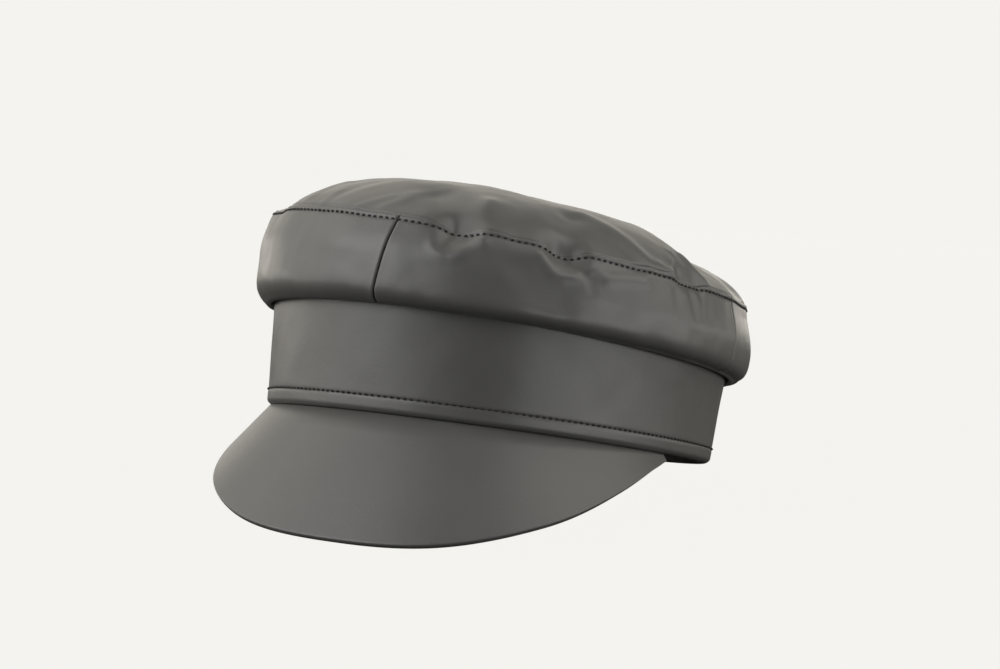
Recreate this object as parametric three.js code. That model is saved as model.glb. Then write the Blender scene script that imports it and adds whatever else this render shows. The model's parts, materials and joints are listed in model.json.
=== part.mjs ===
// A soft leather fisherman cap, lying as it rests by itself: on the edge of its peak and the back of its band.
// It has a tall stiff band, a sloping peak, and a full crown of one top piece and four side panels,
// whose lower edge hangs over the band and turns in to its top.
// Lengths are in millimetres and angles in degrees. Angles run round the cap from 0 at the middle of the
// front, through 90 at the wearer's left side. The cap is modelled upright, and tilted back at the end.
import * as THREE from 'three';

// Band
const HEAD_HALF_WIDTH = 83.5; // hollow at the rim, ear to ear
const HEAD_HALF_LENGTH = 100.5; // hollow at the rim, brow to nape
const BAND_WALL = 2.8;
const BAND_HEIGHT = 44;
const BAND_FLARE = 3; // how far the top of the band stands out past its rim
const HEM_HEIGHT = 6; // from the rim up to the row of stitches
const HEM_SWELL = 0.35; // how far the hem stands out
const HEM_TURN = 1.2; // how far its lower edge rounds in at the rim

// Crown
const CROWN_LEATHER = 1.6; // wall of the soft leather
const SEAM_SIDE_OVERHANG = 3.4; // top seam past the top of the band, at the sides
const SEAM_END_OVERHANG = 2.4; // and at the front and back
const SEAM_RISE = 27; // top seam above the top of the band
const SEAM_LEFT_DROP = 5.8; // how much lower the top seam is at the wearer's left than in the middle
const SEAM_FRONT_RISE = 1.3; // and how much higher at the front
const LIP_SIDE_OVERHANG = 2.8; // lip, the lowest edge of the crown, past the top of the band, at the sides
const LIP_END_OVERHANG = 4.2; // and at the front and back
const LIP_DROP = 7.3; // lip below the top of the band, on average
const LIP_RISE = 3; // how much higher the lip is where it is highest
const LIP_HIGH_ANGLE = -25; // where it is highest: at the front, towards the wearer's right
const LIP_ROLL = 5.5; // power of the curve down to the lip: larger is more upright, with a quicker roll under
const LIP_ROLL_MORE = 2.5; // how much larger it is where it is largest
const LIP_ROLL_ANGLE = -60; // where it is largest: the wearer's right, towards the front
const SIDE_SWELL = 5.1; // how far the side swells out between the lip and the top seam
const SIDE_FULLEST = 0.43; // share of the way up at which it is fullest, on average
const SAG_SHARE = 0.12; // how much lower it is fullest where it sags most
const SAG_ANGLE = 120; // where it sags most: the wearer's left, towards the back
const FRONT_SEAM_TOP_ANGLE = 0.2; // the front seam leans: where it meets the top seam, and the lip
const FRONT_SEAM_FOOT_ANGLE = -2.5;
const TOP_RISE = 23.3; // middle of the top above the top seam
const TOP_FULLNESS = 4; // power of the top's curve: larger is flatter, with a rounder shoulder
const FOLD_DEPTH = 5; // of the deepest fold
const FOLD_WIDTH = 10; // of a broad fold, from its line to where most of its depth is gone
const FOLD_END = 1.7; // reach at which the folds begin to fade out above the lip

// Peak
const PEAK_LEATHER = 2.6; // wall of the peak: leather over board
const PEAK_LENGTH = 53.4; // from the band to the edge, in the middle
const PEAK_HALF_ANGLE = 76; // how far round the band the peak reaches on each side
const PEAK_INSET = 1.6; // how far behind the face of the band the peak comes out
const PEAK_TUCK = 7; // sewing edge of the peak, turned up inside the band

const PIECE_GAP = 0.3; // between pieces that are sewn to each other

// How finely the surfaces are divided
const QUARTER_STEPS = 21; // round each quarter of the cap
const TOP_STEPS = 7; // from the middle of the top to the seam
const TOP_CLOSENESS = 0.75; // power of their spacing: below 1 they lie closer towards the seam
const SIDE_STEPS = 7; // from the top seam to the lip
const SIDE_CLOSENESS = 1.35; // power of their spacing: above 1 they lie closer towards the lip
const PEAK_STEPS = 38; // from end to end of the peak

// Wall of the band from its rim up. below is a share of HEM_HEIGHT and above one of the height over it; swell is
// a share of HEM_SWELL and turned one of HEM_TURN.
const BAND_ROWS = [
  { below: 0, above: 0, swell: -0.8, turned: 1 },
  { below: 0.08, above: 0, swell: 0.1, turned: 0.55 },
  { below: 0.2, above: 0, swell: 0.85, turned: 0.12 },
  { below: 0.85, above: 0, swell: 0.8, turned: 0 },
  { below: 1, above: 0, swell: -0.5, turned: 0 },
  { below: 1, above: 0.04, swell: 0.2, turned: 0 },
  { below: 1, above: 0.5, swell: 0.1, turned: 0 },
  { below: 1, above: 1, swell: 0, turned: 0 },
];

// The turned-in edge of the crown. inward is 0 at the lip, 1 at the face of the band and 2 at its inside;
// rise is 0 at the lip and 1 at the top of the band.
const TUCK_ROWS = [
  { inward: 0.25, rise: -0.08 },
  { inward: 0.55, rise: -0.07 },
  { inward: 0.82, rise: 0.15 },
  { inward: 0.95, rise: 0.55 },
  { inward: 1, rise: 1 },
  { inward: 1.85, rise: 1 },
];

// The peak from its middle to its end. along is a share of PEAK_HALF_ANGLE, width a share of PEAK_LENGTH,
// slope its angle below the plane of the rim, and wall a share of PEAK_LEATHER.
const PEAK_ROWS = [
  { along: 0, width: 1, slope: 60, wall: 1 },
  { along: 0.25, width: 0.967, slope: 57, wall: 1 },
  { along: 0.5, width: 0.73, slope: 54, wall: 1 },
  { along: 0.75, width: 0.362, slope: 53, wall: 1 },
  { along: 0.9, width: 0.152, slope: 52.5, wall: 1 },
  { along: 1, width: 0.05, slope: 52.5, wall: 0.6 },
];

// The leaf of the peak from the band to its rounded edge: reach is a share of the width there, and wall of
// the wall there.
const LEAF_ROWS = [
  { reach: 0.25, wall: 1 },
  { reach: 0.6, wall: 1 },
  { reach: 0.93, wall: 1 },
  { reach: 0.985, wall: 0.85 },
  { reach: 1, wall: 0.5 },
];

// Folds and dents of the crown, each along a line. Angles are in degrees round the cap, and a reach is 0 in the
// middle of the top, 1 at the top seam and 2 at the lip. width is a share of FOLD_WIDTH and depth a share of
// FOLD_DEPTH, above 0 for a dent and below 0 for a ridge.
const FOLDS = [
  // first dip of the top seam, at the wearer's front left: a scoop in the side, and a valley into the top
  { fromAngle: 13.5, fromReach: 1, toAngle: 16.5, toReach: 1, width: 0.56, depth: 0.8 },
  { fromAngle: 12.5, fromReach: 1.2, toAngle: 16.5, toReach: 1.17, width: 0.4, depth: 0.2 },
  { fromAngle: 11.5, fromReach: 1.39, toAngle: 14.5, toReach: 1.4, width: 0.32, depth: -0.16 },
  { fromAngle: 17, fromReach: 1.3, toAngle: 19.6, toReach: 1.16, width: 0.3, depth: -0.18 },
  { fromAngle: 12, fromReach: 0.97, toAngle: 4, toReach: 0.82, width: 0.8, depth: 0.4 },
  { fromAngle: 18, fromReach: 0.97, toAngle: 18.5, toReach: 0.84, width: 0.5, depth: -0.2 },
  // shelf between the dips
  { fromAngle: 21, fromReach: 1.19, toAngle: 31, toReach: 1.19, width: 0.5, depth: -0.2 },
  { fromAngle: 27, fromReach: 1, toAngle: 33, toReach: 1, width: 0.4, depth: 0.16 },
  // second dip, with the folds round its scoop, a shelf after it and a flat below it
  { fromAngle: 36.9, fromReach: 1, toAngle: 39.5, toReach: 1.02, width: 0.49, depth: 0.98 },
  { fromAngle: 37.5, fromReach: 1.17, toAngle: 41, toReach: 1.2, width: 0.45, depth: 0.24 },
  { fromAngle: 32.6, fromReach: 1.19, toAngle: 35.6, toReach: 1.37, width: 0.3, depth: -0.18 },
  { fromAngle: 43, fromReach: 1.23, toAngle: 45, toReach: 1.19, width: 0.3, depth: -0.22 },
  { fromAngle: 47.6, fromReach: 1.3, toAngle: 57, toReach: 1.2, width: 0.34, depth: -0.22 },
  { fromAngle: 38, fromReach: 0.95, toAngle: 41, toReach: 0.8, width: 0.7, depth: 0.36 },
  { fromAngle: 30, fromReach: 1.5, toAngle: 37, toReach: 1.68, width: 1.1, depth: 0.22 },
  // step in the seam, and the top above it
  { fromAngle: 69.2, fromReach: 1.01, toAngle: 74.5, toReach: 1.01, width: 0.45, depth: 0.46 },
  { fromAngle: 46.5, fromReach: 0.74, toAngle: 58.8, toReach: 0.975, width: 0.46, depth: -0.17 },
  { fromAngle: 44, fromReach: 0.93, toAngle: 52, toReach: 0.95, width: 0.7, depth: 0.18 },
  { fromAngle: 76.3, fromReach: 0.88, toAngle: 78.6, toReach: 0.975, width: 0.27, depth: -0.18 },
  { fromAngle: 81, fromReach: 0.93, toAngle: 86, toReach: 0.86, width: 0.6, depth: 0.18 },
  // broad hollows and sweeping wrinkles of the top
  { fromAngle: 27, fromReach: 0.62, toAngle: 46, toReach: 0.5, width: 2.2, depth: 0.16 },
  { fromAngle: -38, fromReach: 0.8, toAngle: -18, toReach: 0.63, width: 1.4, depth: 0.18 },
  { fromAngle: -3, fromReach: 0.9, toAngle: 4, toReach: 0.76, width: 0.32, depth: -0.08 },
  { fromAngle: -40, fromReach: 0.955, toAngle: -46, toReach: 0.76, width: 0.26, depth: -0.09 },
  // slumped shoulder at the wearer's left, towards the back
  { fromAngle: 88, fromReach: 0.8, toAngle: 130, toReach: 0.76, width: 1.2, depth: 0.64 },
  { fromAngle: 97, fromReach: 0.9, toAngle: 102, toReach: 0.92, width: 0.7, depth: 0.18 },
  { fromAngle: 107, fromReach: 0.955, toAngle: 128, toReach: 0.94, width: 0.8, depth: -0.26 },
  // corner of the seam at the wearer's right
  { fromAngle: -56, fromReach: 0.95, toAngle: -64, toReach: 0.66, width: 0.9, depth: 0.28 },
  { fromAngle: -45, fromReach: 0.97, toAngle: -58, toReach: 0.9, width: 0.8, depth: 0.34 },
  { fromAngle: -64, fromReach: 1.05, toAngle: -55, toReach: 1.05, width: 0.45, depth: -0.26 },
  // slack on the far side and at the back, where the crown settles under its own weight
  { fromAngle: -80, fromReach: 0.98, toAngle: -76, toReach: 1.04, width: 0.7, depth: 0.52 },
  { fromAngle: -113, fromReach: 0.99, toAngle: -109, toReach: 1.02, width: 0.6, depth: 0.6 },
  { fromAngle: -107, fromReach: 0.96, toAngle: -98, toReach: 0.78, width: 0.8, depth: 0.32 },
  { fromAngle: -139, fromReach: 0.95, toAngle: -126, toReach: 0.7, width: 0.4, depth: -0.18 },
  { fromAngle: -160, fromReach: 0.99, toAngle: -156, toReach: 1.01, width: 0.6, depth: 0.52 },
  { fromAngle: -152, fromReach: 0.92, toAngle: -142, toReach: 0.7, width: 0.8, depth: 0.24 },
  { fromAngle: 131, fromReach: 1, toAngle: 135, toReach: 1.02, width: 0.6, depth: 0.56 },
  { fromAngle: 135, fromReach: 0.97, toAngle: 142, toReach: 0.72, width: 0.9, depth: 0.3 },
  { fromAngle: 148, fromReach: 0.93, toAngle: 160, toReach: 0.68, width: 0.4, depth: -0.16 },
  { fromAngle: 163, fromReach: 1, toAngle: 168, toReach: 1, width: 0.65, depth: 0.48 },
  { fromAngle: 166, fromReach: 0.95, toAngle: 176, toReach: 0.76, width: 0.9, depth: 0.28 },
];

// Reaches of the crown's lines: from 0 in the middle of the top, out and down to the end of its turned-in edge
const AT_SEAM = 1;
const AT_LIP = 2;
const AT_END = 3;

// Small steps over which the slope of the crown's surface is measured, in reach and in degrees
const SMALL_STEP = 0.04;
const SMALL_TURN = 1;
const SMALLEST_EDGE = 1e-4; // a shorter edge counts as a single point
const TILT_ROUNDS = 8; // of the search for how the cap rests

const RIM_HALF_WIDTH = HEAD_HALF_WIDTH + BAND_WALL;
const RIM_HALF_LENGTH = HEAD_HALF_LENGTH + BAND_WALL;
const SEAM_HALF_WIDTH = RIM_HALF_WIDTH + BAND_FLARE + SEAM_SIDE_OVERHANG;
const SEAM_HALF_LENGTH = RIM_HALF_LENGTH + BAND_FLARE + SEAM_END_OVERHANG;
const SEAM_HEIGHT = BAND_HEIGHT + SEAM_RISE;
const LIP_HALF_WIDTH = RIM_HALF_WIDTH + BAND_FLARE + LIP_SIDE_OVERHANG;
const LIP_HALF_LENGTH = RIM_HALF_LENGTH + BAND_FLARE + LIP_END_OVERHANG;
const LIP_HEIGHT = BAND_HEIGHT - LIP_DROP;
const { abs, cos, hypot, max, min, PI, sin } = Math;
const turn = THREE.MathUtils.degToRad;
const QUARTER_TURN = THREE.MathUtils.radToDeg(PI / 2);
const mix = THREE.MathUtils.lerp;

// A point on an oval round the cap's axis.
function ovalPoint(angle, halfWidth, halfLength, height) {
  return new THREE.Vector3(halfWidth * sin(turn(angle)), -halfLength * cos(turn(angle)), height);
}

// The level direction that faces out of the rim's oval at an angle.
function outward(angle) {
  const across = RIM_HALF_LENGTH * sin(turn(angle));
  const along = -RIM_HALF_WIDTH * cos(turn(angle));
  return new THREE.Vector3(across, along, 0).normalize();
}

// A smooth curve through one column of a table, read at a place between its rows. It is level at the first row.
function readTable(rows, place, column, at) {
  const slopeAt = (i) => {
    if (!i) return 0;
    const a = rows[i - 1];
    const b = rows[min(i + 1, rows.length - 1)];
    return (b[column] - a[column]) / (b[place] - a[place]);
  };
  let i = 0;
  while (i < rows.length - 2 && at > rows[i + 1][place]) i += 1;
  const span = rows[i + 1][place] - rows[i][place];
  const t = (at - rows[i][place]) / span;
  const rise = rows[i + 1][column] - rows[i][column];
  const first = slopeAt(i) * span - rise;
  const last = rise - slopeAt(i + 1) * span;
  return rows[i][column] + t * rise + t * (1 - t) * ((1 - t) * first + t * last);
}

// The closed shell between two grids of points, [section][row], whose rows match. A round shell joins its last
// section to its first, and an open one has an end face on both. Triangles that shrink to nothing, as where
// every section starts at one point, are left out.
function shell(outer, inner, round) {
  const corners = [];
  const triangle = (a, b, c) => {
    const smallest = min(a.distanceTo(b), b.distanceTo(c), c.distanceTo(a));
    if (smallest > SMALLEST_EDGE) corners.push(a, b, c);
  };
  const face = (a, b, c, d) => {
    triangle(a, b, c);
    triangle(a, c, d);
  };
  const sections = outer.length;
  const last = outer[0].length - 1;
  for (let i = 0; i < (round ? sections : sections - 1); i += 1) {
    const k = (i + 1) % sections;
    for (let j = 0; j < last; j += 1) {
      face(outer[i][j], outer[i][j + 1], outer[k][j + 1], outer[k][j]);
      face(inner[i][j], inner[k][j], inner[k][j + 1], inner[i][j + 1]);
    }
    face(outer[i][0], outer[k][0], inner[k][0], inner[i][0]);
    face(outer[i][last], inner[i][last], inner[k][last], outer[k][last]);
  }
  for (let j = 0; !round && j < last; j += 1) {
    face(outer[0][j], inner[0][j], inner[0][j + 1], outer[0][j + 1]);
    const end = sections - 1;
    face(outer[end][j], outer[end][j + 1], inner[end][j + 1], inner[end][j]);
  }
  return new THREE.BufferGeometry().setFromPoints(corners);
}

// Half sizes and height of the band's face at a height above the rim.
function bandOval(height) {
  const flare = BAND_FLARE * (height / BAND_HEIGHT);
  return { halfWidth: RIM_HALF_WIDTH + flare, halfLength: RIM_HALF_LENGTH + flare, height };
}

// The top seam and the lip at an angle, each as an oval's half sizes and a height.
function seamOval(angle) {
  const height = SEAM_HEIGHT + SEAM_FRONT_RISE * cos(turn(angle)) - SEAM_LEFT_DROP * sin(turn(angle));
  return { halfWidth: SEAM_HALF_WIDTH, halfLength: SEAM_HALF_LENGTH, height };
}
function lipOval(angle) {
  const height = LIP_HEIGHT + LIP_RISE * cos(turn(angle - LIP_HIGH_ANGLE));
  return { halfWidth: LIP_HALF_WIDTH, halfLength: LIP_HALF_LENGTH, height };
}

// The crown's smooth outside before folds, as an oval's half sizes and height at each reach.
function crownOval(angle, reach) {
  const seam = seamOval(angle);
  const lip = lipOval(angle);
  if (reach <= AT_SEAM) {
    const dome = TOP_RISE * (1 - reach ** TOP_FULLNESS);
    return {
      halfWidth: SEAM_HALF_WIDTH * reach,
      halfLength: SEAM_HALF_LENGTH * reach,
      height: mix(SEAM_HEIGHT, seam.height, reach) + dome,
    };
  }
  if (reach <= AT_LIP) {
    const up = AT_LIP - reach;
    const fullest = SIDE_FULLEST - SAG_SHARE * cos(turn(angle - SAG_ANGLE));
    const share = up ** (-Math.LN2 / Math.log(fullest)); // a half where the side is fullest
    const roll = LIP_ROLL + LIP_ROLL_MORE * cos(turn(angle - LIP_ROLL_ANGLE));
    const swell = SIDE_SWELL * (up < fullest ? 1 - (1 - 2 * share) ** roll : sin(PI * share));
    return {
      halfWidth: mix(lip.halfWidth, seam.halfWidth, up) + swell,
      halfLength: mix(lip.halfLength, seam.halfLength, up) + swell,
      height: mix(lip.height, seam.height, up),
    };
  }
  const place = (reach - AT_LIP) * TUCK_ROWS.length;
  const row = min(Math.floor(place), TUCK_ROWS.length - 1);
  const from = row ? TUCK_ROWS[row - 1] : { inward: 0, rise: 0 };
  const inward = mix(from.inward, TUCK_ROWS[row].inward, place - row);
  const rise = mix(from.rise, TUCK_ROWS[row].rise, place - row);
  const height = mix(lip.height, BAND_HEIGHT + PIECE_GAP, rise);
  const band = bandOval(min(height, BAND_HEIGHT));
  const clear = PIECE_GAP - BAND_WALL * max(inward - 1, 0);
  return {
    halfWidth: mix(lip.halfWidth, band.halfWidth + clear, min(inward, 1)),
    halfLength: mix(lip.halfLength, band.halfLength + clear, min(inward, 1)),
    height,
  };
}

// The direction that the crown's outside faces before folds, in the upright plane through the axis.
function smoothFacing(angle, reach) {
  const a = crownOval(angle, max(reach - SMALL_STEP, 0));
  const b = crownOval(angle, min(reach + SMALL_STEP, AT_END));
  const run = (b.halfWidth + b.halfLength - a.halfWidth - a.halfLength) / 2;
  const fall = a.height - b.height;
  const length = hypot(run, fall);
  return outward(angle).multiplyScalar(fall / length).setZ(run / length);
}

// The front seam isn't quite upright, and the leather of both front panels leans with it.
function slantedAngle(angle, reach) {
  const share = max(1 - abs(angle) / QUARTER_TURN, 0);
  const down = THREE.MathUtils.clamp(reach - AT_SEAM, 0, 1);
  return angle + share * mix(FRONT_SEAM_TOP_ANGLE, FRONT_SEAM_FOOT_ANGLE, down);
}

// The crown laid flat as a disc, in which the distance to a fold is measured.
function flatPoint(angle, reach) {
  const sideLength = SEAM_HEIGHT - LIP_HEIGHT;
  const radius = SEAM_HALF_LENGTH * min(reach, AT_SEAM) + sideLength * max(reach - AT_SEAM, 0);
  return new THREE.Vector2(radius * sin(turn(angle)), -radius * cos(turn(angle)));
}

// How far the folds press the crown's outside in. Ridges give less than 0.
function foldDepth(angle, reach) {
  const here = flatPoint(angle, reach);
  const fade = 1 - THREE.MathUtils.smoothstep(reach, FOLD_END, AT_LIP);
  let depth = 0;
  for (const fold of FOLDS) {
    const from = flatPoint(fold.fromAngle, fold.fromReach);
    const line = flatPoint(fold.toAngle, fold.toReach).sub(from);
    const share = THREE.MathUtils.clamp(here.clone().sub(from).dot(line) / line.lengthSq(), 0, 1);
    const away = here.distanceTo(line.multiplyScalar(share).add(from));
    depth += FOLD_DEPTH * fold.depth * Math.exp(-((away / (FOLD_WIDTH * fold.width)) ** 2));
  }
  return depth * fade;
}

// A point on the crown's folded outside.
function crownPoint(angle, reach) {
  const { halfWidth, halfLength, height } = crownOval(angle, reach);
  const point = ovalPoint(angle, halfWidth, halfLength, height);
  return point.addScaledVector(smoothFacing(angle, reach), -foldDepth(angle, reach));
}

// The direction that the folded outside faces.
function foldedFacing(angle, reach) {
  if (reach < SMALL_STEP) return new THREE.Vector3(0, 0, 1);
  const onward = crownPoint(angle, min(reach + SMALL_STEP, AT_END)).sub(crownPoint(angle, reach - SMALL_STEP));
  const around = crownPoint(angle + SMALL_TURN, reach).sub(crownPoint(angle - SMALL_TURN, reach));
  return onward.cross(around).normalize();
}

// One section of the crown's wall through places of [angle, reach]: its outside and its inside.
function crownSection(places) {
  const outside = places.map(([angle, reach]) => crownPoint(angle, reach));
  const inside = places.map(([angle, reach], i) => {
    return outside[i].clone().addScaledVector(foldedFacing(angle, reach), -CROWN_LEATHER);
  });
  return { outside, inside };
}

// Places from one number to another, in even steps.
function steps(from, to, count) {
  return Array.from({ length: count + 1 }, (_, i) => mix(from, to, i / count));
}

// Angles all round the cap, each once.
function roundAngles() {
  return steps(-2 * QUARTER_TURN, 2 * QUARTER_TURN, 4 * QUARTER_STEPS).slice(0, -1);
}

function crownTop() {
  const edge = AT_SEAM - PIECE_GAP / 2 / SEAM_HALF_WIDTH;
  const reaches = steps(0, 1, TOP_STEPS).map((share) => edge * share ** TOP_CLOSENESS);
  const sections = roundAngles().map((angle) => crownSection(reaches.map((reach) => [angle, reach])));
  const middle = crownSection([[0, 0]]);
  for (const section of sections) {
    section.outside[0] = middle.outside[0];
    section.inside[0] = middle.inside[0];
  }
  return shell(sections.map((s) => s.outside), sections.map((s) => s.inside), true);
}

// One quarter of the crown's side with the edge that it turns in, between two upright seams.
function crownSidePanel(fromAngle) {
  const top = AT_SEAM + PIECE_GAP / 2 / (SEAM_HEIGHT - LIP_HEIGHT);
  const tuck = steps(AT_LIP, AT_END, TUCK_ROWS.length).slice(1);
  const side = steps(1, 0, SIDE_STEPS).map((share) => mix(AT_LIP, top, share ** SIDE_CLOSENESS));
  const reaches = [...side, ...tuck];
  const seamGap = THREE.MathUtils.radToDeg(PIECE_GAP / 2 / RIM_HALF_WIDTH);
  const angles = steps(fromAngle + seamGap, fromAngle + QUARTER_TURN - seamGap, QUARTER_STEPS);
  const sections = angles.map((angle) => {
    return crownSection(reaches.map((reach) => [slantedAngle(angle, reach), reach]));
  });
  return shell(sections.map((s) => s.outside), sections.map((s) => s.inside), false);
}

function band() {
  const outside = [];
  const inside = [];
  for (const angle of roundAngles()) {
    const out = outward(angle);
    const outer = [];
    const inner = [];
    for (const { below, above, swell, turned } of BAND_ROWS) {
      const oval = bandOval(HEM_HEIGHT * below + (BAND_HEIGHT - HEM_HEIGHT) * above);
      const face = ovalPoint(angle, oval.halfWidth, oval.halfLength, oval.height);
      outer.push(face.clone().addScaledVector(out, HEM_SWELL * swell - HEM_TURN * turned));
      inner.push(face.clone().addScaledVector(out, -BAND_WALL));
    }
    outside.push(outer);
    inside.push(inner);
  }
  return shell(outside, inside, true);
}

// The two faces of a wall whose middle runs through points of [distance out, height, thickness].
function wallFaces(middle) {
  const unit = ([x, y]) => [x / hypot(x, y), y / hypot(x, y)];
  const faces = middle.map(([x, y, thickness], i) => {
    const before = middle[max(i - 1, 0)];
    const after = middle[min(i + 1, middle.length - 1)];
    const onward = unit(i < middle.length - 1 ? [after[0] - x, after[1] - y] : [x - before[0], y - before[1]]);
    const into = i ? unit([x - before[0], y - before[1]]) : onward;
    const mitre = thickness / 2 / (1 + into[0] * onward[0] + into[1] * onward[1]);
    const across = [-(into[1] + onward[1]) * mitre, (into[0] + onward[0]) * mitre];
    return [[x + across[0], y + across[1]], [x - across[0], y - across[1]]];
  });
  return { upper: faces.map((pair) => pair[0]), under: faces.map((pair) => pair[1]) };
}

// The peak: a sewing edge that stands up inside the band, a step under its rim, and the sloping leaf.
function peak() {
  const outside = [];
  const inside = [];
  for (const share of steps(-1, 1, PEAK_STEPS)) {
    const read = (column) => readTable(PEAK_ROWS, 'along', column, abs(share));
    const width = PEAK_LENGTH * read('width');
    const slope = turn(read('slope'));
    const wall = PEAK_LEATHER * read('wall');
    const behind = -(BAND_WALL + PIECE_GAP + wall / 2);
    const below = -(PIECE_GAP + wall / 2);
    const middle = [[behind, PEAK_TUCK, wall], [behind, below, wall], [-PEAK_INSET, below, wall]];
    for (const row of LEAF_ROWS) {
      const reach = width * row.reach;
      middle.push([reach * cos(slope) - PEAK_INSET, below - reach * sin(slope), wall * row.wall]);
    }
    const angle = PEAK_HALF_ANGLE * share;
    const rim = ovalPoint(angle, RIM_HALF_WIDTH, RIM_HALF_LENGTH, 0);
    const place = ([across, height]) => rim.clone().addScaledVector(outward(angle), across).setZ(height);
    const faces = wallFaces(middle);
    outside.push(faces.upper.map(place));
    inside.push(faces.under.map(place));
  }
  return shell(outside, inside, false);
}

const leather = new THREE.MeshStandardMaterial({ color: 0x63625e, roughness: 0.45, metalness: 0 });
const peakLeather = new THREE.MeshStandardMaterial({ color: 0x646360, roughness: 0.42, metalness: 0 });

// A mesh whose faces point out.
function piece(name, geometry, material) {
  const position = geometry.getAttribute('position');
  const [a, b, c] = [0, 0, 0].map(() => new THREE.Vector3());
  let volume = 0;
  for (let i = 0; i < position.count; i += 3) {
    [a, b, c].forEach((corner, k) => corner.fromBufferAttribute(position, i + k));
    volume += a.dot(b.cross(c));
  }
  for (let i = 0; volume < 0 && i < position.count; i += 3) {
    b.fromBufferAttribute(position, i + 1);
    c.fromBufferAttribute(position, i + 2);
    position.setXYZ(i + 1, c.x, c.y, c.z);
    position.setXYZ(i + 2, b.x, b.y, b.z);
  }
  geometry.computeVertexNormals();
  const mesh = new THREE.Mesh(geometry, material);
  mesh.name = name;
  return mesh;
}

// The tilt at which the cap stands on the edge of its peak and the back of its rim at once.
function restTilt(front, back) {
  const lowest = (mesh, tilt) => {
    const position = mesh.geometry.getAttribute('position');
    let found = null;
    for (let i = 0; i < position.count; i += 1) {
      const [y, z] = [position.getY(i), position.getZ(i)];
      const height = y * sin(tilt) + z * cos(tilt);
      if (!found || height < found.height) found = { y, z, height };
    }
    return found;
  };
  let tilt = 0;
  for (let i = 0; i < TILT_ROUNDS; i += 1) {
    const a = lowest(front, tilt);
    const b = lowest(back, tilt);
    tilt = Math.atan2(a.z - b.z, b.y - a.y);
  }
  return tilt;
}

const bandMesh = piece('band', band(), leather);
const peakMesh = piece('peak', peak(), peakLeather);
const cap = new THREE.Group();
cap.add(
  bandMesh,
  peakMesh,
  piece('crown_top', crownTop(), leather),
  piece('crown_side_front_left', crownSidePanel(0), leather),
  piece('crown_side_back_left', crownSidePanel(QUARTER_TURN), leather),
  piece('crown_side_back_right', crownSidePanel(-2 * QUARTER_TURN), leather),
  piece('crown_side_front_right', crownSidePanel(-QUARTER_TURN), leather),
);
cap.rotation.x = restTilt(peakMesh, bandMesh);

// The origin is on the surface that the cap rests on, under the middle of its box.
const whole = new THREE.Group();
whole.add(cap);
const box = new THREE.Box3().setFromObject(whole, true);
const centre = box.getCenter(new THREE.Vector3());
cap.position.set(-centre.x, -centre.y, -box.min.z);

export default whole;
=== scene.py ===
# A plain grey leather fisherman cap, resting on the edge of its peak and the back of its band.
# Lengths are millimetres in the cap's own upright frame, unless a name or comment says otherwise: +X to the
# wearer's left, -Y to the front, +Z up the cap's axis, and 0 at the rim of the band. place() turns them into
# metres where the cap rests. Angles are degrees round the cap, from 0 at the middle of the front through 90
# at the wearer's left side.
import json
import math

import bmesh
import bpy
import numpy as np
from mathutils import Matrix, Vector


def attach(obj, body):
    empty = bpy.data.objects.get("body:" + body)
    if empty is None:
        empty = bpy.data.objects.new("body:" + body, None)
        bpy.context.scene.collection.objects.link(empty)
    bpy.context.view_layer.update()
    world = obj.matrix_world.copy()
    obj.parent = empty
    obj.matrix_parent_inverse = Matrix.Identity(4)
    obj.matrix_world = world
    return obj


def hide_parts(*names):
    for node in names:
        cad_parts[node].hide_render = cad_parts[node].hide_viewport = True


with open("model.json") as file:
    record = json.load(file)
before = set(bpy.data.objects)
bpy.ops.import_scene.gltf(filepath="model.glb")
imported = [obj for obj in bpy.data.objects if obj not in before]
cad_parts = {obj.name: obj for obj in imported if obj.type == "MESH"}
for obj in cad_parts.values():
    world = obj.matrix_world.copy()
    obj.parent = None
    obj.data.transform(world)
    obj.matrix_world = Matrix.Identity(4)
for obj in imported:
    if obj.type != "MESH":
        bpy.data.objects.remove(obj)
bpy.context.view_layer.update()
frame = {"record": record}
MM = 0.001

# Sizes of the solids that these pieces dress
HEAD_HALF_WIDTH = 83.5  # hollow at the rim, ear to ear
HEAD_HALF_LENGTH = 100.5  # hollow at the rim, brow to nape
BAND_WALL = 2.8
BAND_HEIGHT = 44
BAND_FLARE = 3  # how far the top of the band stands out past its rim
HEM_HEIGHT = 6  # from the rim up to the row of stitches
HEM_SWELL = 0.35  # how far the hem stands out
HEM_TURN = 1.2  # how far its lower edge rounds in at the rim

CROWN_LEATHER = 1.6  # wall of the soft leather
SEAM_SIDE_OVERHANG = 3.4  # top seam past the top of the band, at the sides
SEAM_END_OVERHANG = 2.4  # and at the front and back
SEAM_RISE = 27  # top seam above the top of the band
SEAM_LEFT_DROP = 5.8  # how much lower the top seam is at the wearer's left than in the middle
SEAM_FRONT_RISE = 1.3  # and how much higher at the front
LIP_SIDE_OVERHANG = 2.8  # lip, the lowest edge of the crown, past the top of the band, at the sides
LIP_END_OVERHANG = 4.2  # and at the front and back
LIP_DROP = 7.3  # lip below the top of the band, on average
LIP_RISE = 3  # how much higher the lip is where it is highest
LIP_HIGH_ANGLE = -25  # where it is highest: at the front, towards the wearer's right
LIP_ROLL = 5.5  # power of the curve down to the lip: larger is more upright, with a quicker roll under
LIP_ROLL_MORE = 2.5  # how much larger it is where it is largest
LIP_ROLL_ANGLE = -60  # where it is largest: the wearer's right, towards the front
SIDE_SWELL = 5.1  # how far the side swells out between the lip and the top seam
SIDE_FULLEST = 0.43  # share of the way up at which it is fullest, on average
SAG_SHARE = 0.12  # how much lower it is fullest where it sags most
SAG_ANGLE = 120  # where it sags most: the wearer's left, towards the back
FRONT_SEAM_TOP_ANGLE = 0.2  # the front seam leans: where it meets the top seam, and the lip
FRONT_SEAM_FOOT_ANGLE = -2.5
TOP_RISE = 23.3  # middle of the top above the top seam
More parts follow.
